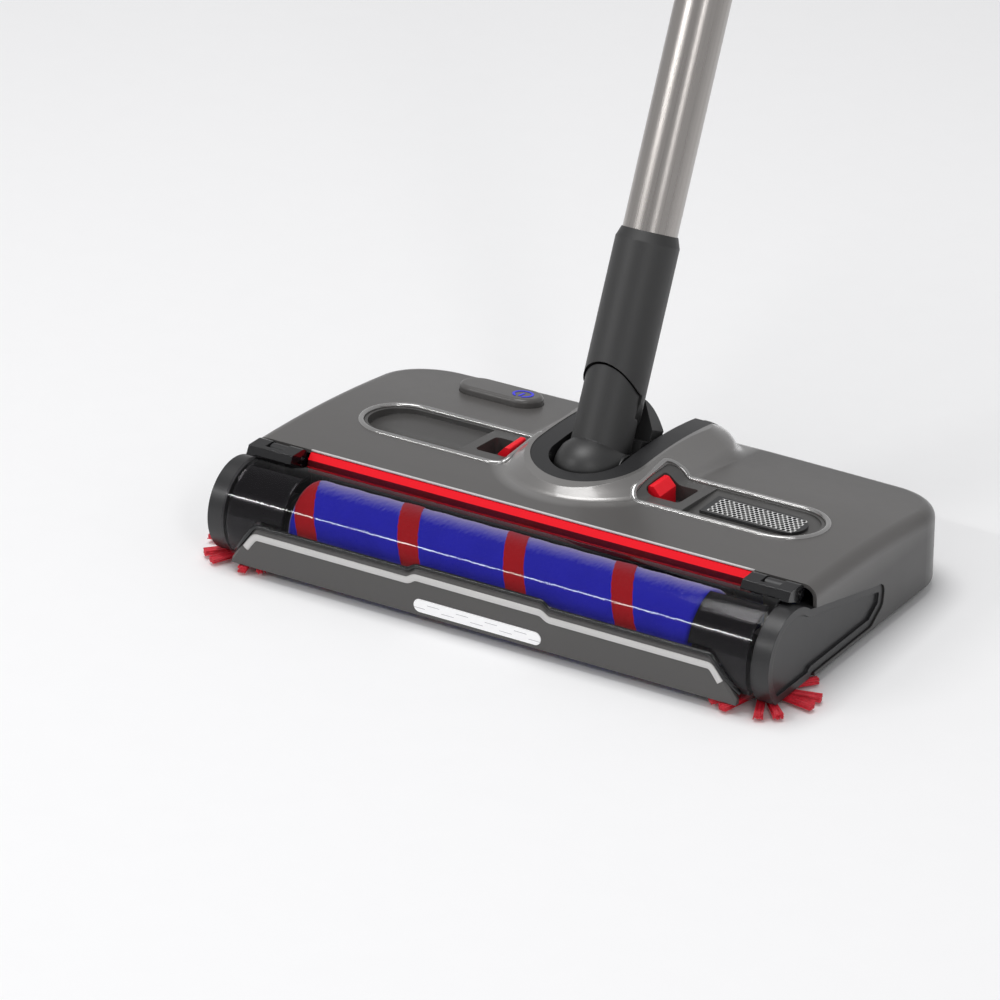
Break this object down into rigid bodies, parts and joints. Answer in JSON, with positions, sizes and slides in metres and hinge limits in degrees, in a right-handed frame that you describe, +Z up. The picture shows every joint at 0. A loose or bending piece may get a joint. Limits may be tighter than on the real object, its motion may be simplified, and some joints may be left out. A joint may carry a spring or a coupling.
{
  "type": "carpet sweeper",
  "caption": "Cordless floor sweeper head with a clear hood over a spiral roll, corner brushes, a dust drawer and a telescopic pole on a tilting neck.",
  "frame": {"origin": "on the floor under the glide pad, on the middle plane of the head", "axes": "+Z up, -Y to the front where the roll is, +X to the side with the vent grille"},
  "size_m": [0.398, 0.442, 0.7295],
  "materials": {
    "body_gray": "semi-gloss",
    "dark_gray": "matte",
    "black_gloss": "gloss",
    "clear_hood": "clear gloss",
    "red_plastic": "gloss",
    "blue_nap": "short nap",
    "red_bristle": "fibre",
    "tube_metal": "brushed",
    "steel": "turned",
    "white_lens": "frosted",
    "circuit_board": "solder mask",
    "battery_wrap": "shrink film",
    "black_rubber": "matte",
    "silver_grille": "satin",
    "blue_icon": "lit",
    "pale_plastic": "natural"
  },
  "bodies": {
    "head": {"top_cover": "body_gray", "chassis": "dark_gray", "base_screws": "steel", "front_fascia": "body_gray", "light_lens": "white_lens", "light_board": "circuit_board", "red_trim_strip": "red_plastic", "hood_hinge_pins": "steel", "end_cap_left": "dark_gray", "end_cap_right": "dark_gray", "left_tray": "body_gray", "right_tray": "body_gray", "vent_grille": "silver_grille", "control_board": "circuit_board", "power_switch": "black_rubber", "neck_liner": "dark_gray", "neck_saddle": "dark_gray", "tilt_pin": "steel", "roll_bush_left": "pale_plastic", "roll_bush_right": "pale_plastic", "drive_motor": "steel", "drive_belt": "black_rubber", "corner_brush_motor_left": "steel", "corner_brush_motor_right": "steel", "wheel_axles": "steel", "glide_pad": "black_rubber", "battery_pack": "battery_wrap", "charge_socket": "black_rubber"},
    "hood": {"hood": "clear_hood", "hood_arm_left": "black_gloss", "hood_arm_right": "black_gloss"},
    "roll": {"roll_core": "pale_plastic", "roll_nap": "blue_nap", "roll_plug_left": "dark_gray", "roll_plug_right": "dark_gray", "roll_pulley": "pale_plastic"},
    "motor_pulley": {"motor_pulley": "pale_plastic"},
    "corner_brush_left": {"corner_brush_hub_left": "dark_gray", "corner_brush_bristles_left": "red_bristle"},
    "corner_brush_right": {"corner_brush_hub_right": "dark_gray", "corner_brush_bristles_right": "red_bristle"},
    "wheel_left": {"wheel_left": "dark_gray", "tyre_left": "black_rubber"},
    "wheel_right": {"wheel_right": "dark_gray", "tyre_right": "black_rubber"},
    "drawer": {"dust_drawer": "dark_gray"},
    "button": {"power_button": "body_gray", "power_icon": "blue_icon"},
    "left_tab": {"left_release_tab": "red_plastic"},
    "right_tab": {"right_release_tab": "red_plastic"},
    "neck": {"neck_foot": "dark_gray", "swing_pin": "steel"},
    "pole": {"pole_socket": "dark_gray", "lower_tube": "tube_metal", "lock_collar": "dark_gray", "lever_pin": "steel"},
    "lever": {"lock_lever": "red_plastic"},
    "handle": {"inner_tube": "tube_metal", "grip": "black_rubber"}
  },
  "joints": [
    {"name": "hood_open", "type": "hinge", "parent": "head", "child": "hood", "pos_m": [0, -0.05, 0.057], "axis": [-1, 0, 0], "range_deg": [0, 70]},
    {"name": "roll_spin", "type": "hinge", "parent": "head", "child": "roll", "pos_m": [0, -0.066, 0.027], "axis": [1, 0, 0], "continuous": true},
    {"name": "motor_spin", "type": "hinge", "parent": "head", "child": "motor_pulley", "pos_m": [0, -0.016, 0.024], "axis": [1, 0, 0], "continuous": true},
    {"name": "left_brush_spin", "type": "hinge", "parent": "head", "child": "corner_brush_left", "pos_m": [-0.166, -0.067, 0.005], "axis": [0, 0, 1], "continuous": true},
    {"name": "right_brush_spin", "type": "hinge", "parent": "head", "child": "corner_brush_right", "pos_m": [0.166, -0.067, 0.005], "axis": [0, 0, 1], "continuous": true},
    {"name": "left_wheel_spin", "type": "hinge", "parent": "head", "child": "wheel_left", "pos_m": [-0.15, 0.098, 0.014], "axis": [1, 0, 0], "continuous": true},
    {"name": "right_wheel_spin", "type": "hinge", "parent": "head", "child": "wheel_right", "pos_m": [0.15, 0.098, 0.014], "axis": [1, 0, 0], "continuous": true},
    {"name": "drawer_slide", "type": "slide", "parent": "head", "child": "drawer", "axis": [0, 1, 0], "range_m": [0, 0.11]},
    {"name": "button_press", "type": "slide", "parent": "head", "child": "button", "axis": [0, 0, -1], "range_m": [0, 0.0015], "stiffness_N_per_m": 400, "springref_m": -0.002},
    {"name": "left_tab_slide", "type": "slide", "parent": "head", "child": "left_tab", "axis": [-1, 0, 0], "range_m": [0, 0.004], "stiffness_N_per_m": 200, "springref_m": -0.003},
    {"name": "right_tab_slide", "type": "slide", "parent": "head", "child": "right_tab", "axis": [1, 0, 0], "range_m": [0, 0.004], "stiffness_N_per_m": 200, "springref_m": -0.003},
    {"name": "neck_tilt", "type": "hinge", "parent": "head", "child": "neck", "pos_m": [0, 0.03, 0.056], "axis": [-1, 0, 0], "range_deg": [-20, 40]},
    {"name": "pole_swing", "type": "hinge", "parent": "neck", "child": "pole", "pos_m": [0, 0.04702, 0.09352], "axis": [0, -0.9107, 0.4131], "range_deg": [-30, 30]},
    {"name": "pole_slide", "type": "slide", "parent": "pole", "child": "handle", "axis": [0, 0.4131, 0.9107], "range_m": [0, 0.29]},
    {"name": "lever_open", "type": "hinge", "parent": "pole", "child": "lever", "pos_m": [0, 0.24053, 0.57652], "axis": [-1, 0, 0], "range_deg": [0, 100]}
  ],
  "couplings": [
    {"joint": "motor_spin", "follows": "roll_spin", "ratio": 2}
  ]
}
